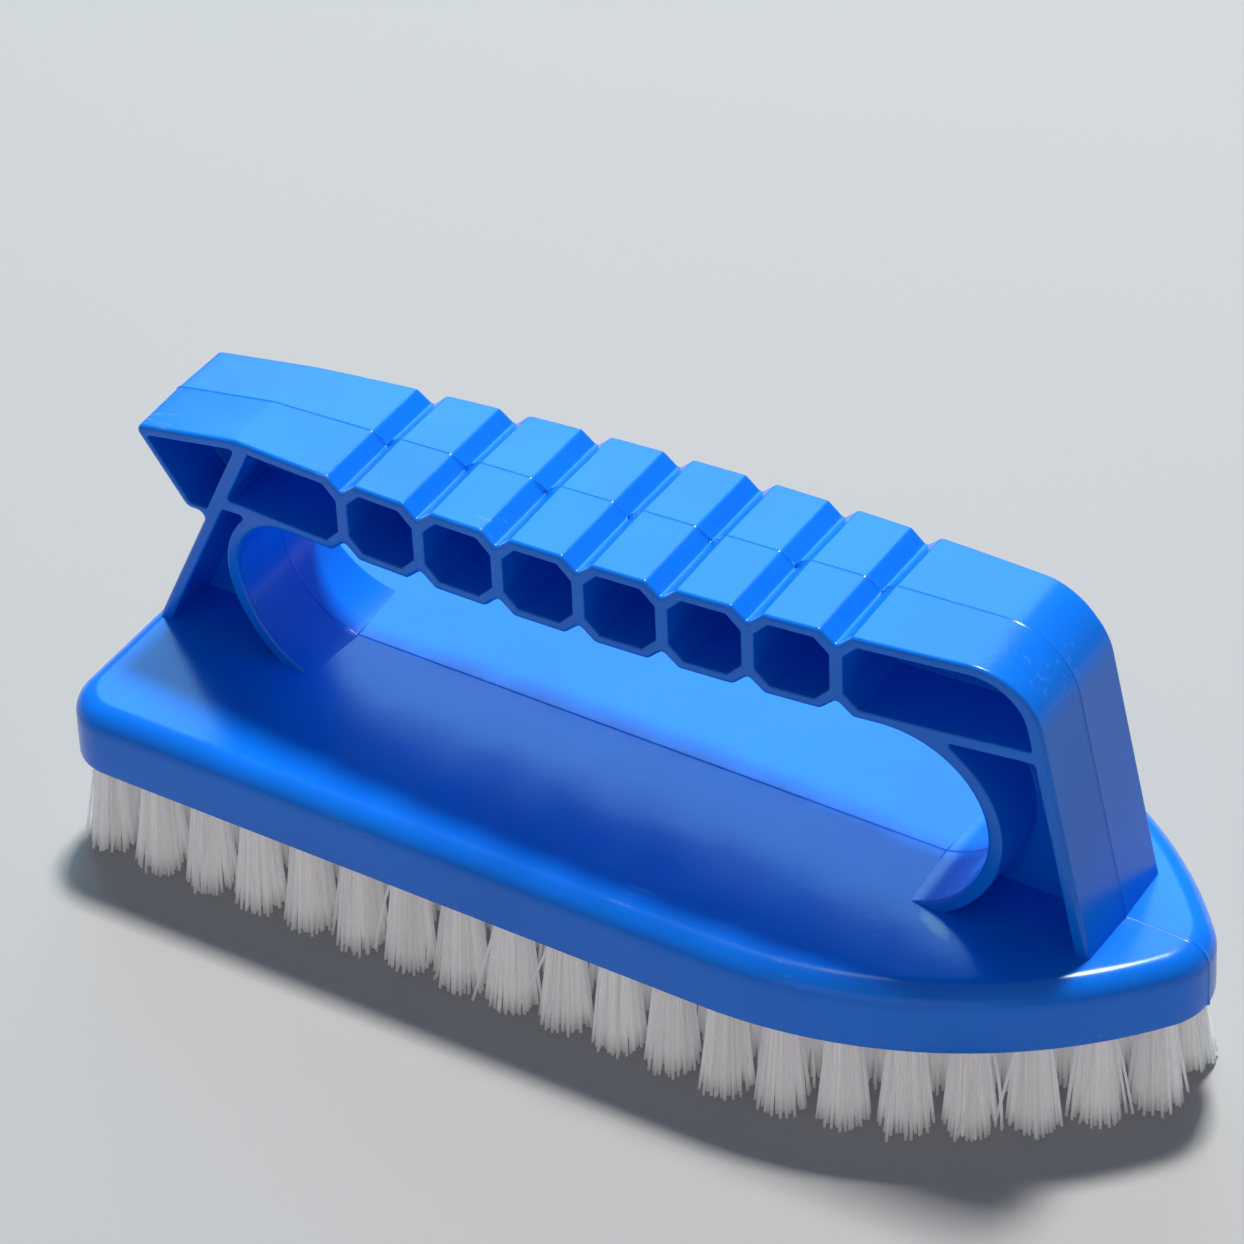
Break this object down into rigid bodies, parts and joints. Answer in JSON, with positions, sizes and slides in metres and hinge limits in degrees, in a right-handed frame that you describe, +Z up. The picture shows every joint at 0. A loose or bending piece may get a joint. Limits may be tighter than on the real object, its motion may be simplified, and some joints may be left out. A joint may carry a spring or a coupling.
{
  "type": "hand scrub brush",
  "caption": "Hand scrub brush for pool walls: iron-shaped plastic block with a closed, grooved handle and stiff nylon filament tufts.",
  "frame": {"origin": "centre of the footprint, on the plane of the filament tips", "axes": "+X to the pointed nose, +Z up through the handle, +Y to the left seen from behind"},
  "size_m": [0.1837, 0.0762, 0.0775],
  "materials": {
    "blue_plastic": "glossy injection-moulded polypropylene, bright blue",
    "filament": "translucent greyish white nylon filament",
    "anchor_wire": "flat galvanised anchor wire"
  },
  "bodies": {
    "root": {"anchors_inner_left_1": "anchor_wire", "anchors_inner_left_2": "anchor_wire", "anchors_inner_right_1": "anchor_wire", "anchors_inner_right_2": "anchor_wire", "anchors_outer_left_1": "anchor_wire", "anchors_outer_left_2": "anchor_wire", "anchors_outer_left_3": "anchor_wire", "anchors_outer_right_1": "anchor_wire", "anchors_outer_right_2": "anchor_wire", "anchors_outer_right_3": "anchor_wire", "anchors_second_left_1": "anchor_wire", "anchors_second_left_2": "anchor_wire", "anchors_second_left_3": "anchor_wire", "anchors_second_right_1": "anchor_wire", "anchors_second_right_2": "anchor_wire", "anchors_second_right_3": "anchor_wire", "anchors_third_left_1": "anchor_wire", "anchors_third_left_2": "anchor_wire", "anchors_third_left_3": "anchor_wire", "anchors_third_right_1": "anchor_wire", "anchors_third_right_2": "anchor_wire", "block": "blue_plastic", "handle": "blue_plastic", "tufts_inner_left_1": "filament", "tufts_inner_left_2": "filament", "tufts_inner_right_1": "filament", "tufts_inner_right_2": "filament", "tufts_outer_left_1": "filament", "tufts_outer_left_2": "filament", "tufts_outer_left_3": "filament", "tufts_outer_right_1": "filament", "tufts_outer_right_2": "filament", "tufts_outer_right_3": "filament", "tufts_second_left_1": "filament", "tufts_second_left_2": "filament", "tufts_second_left_3": "filament", "tufts_second_right_1": "filament", "tufts_second_right_2": "filament", "tufts_second_right_3": "filament", "tufts_third_left_1": "filament", "tufts_third_left_2": "filament", "tufts_third_left_3": "filament", "tufts_third_right_1": "filament", "tufts_third_right_2": "filament"}
  },
  "joints": []
}
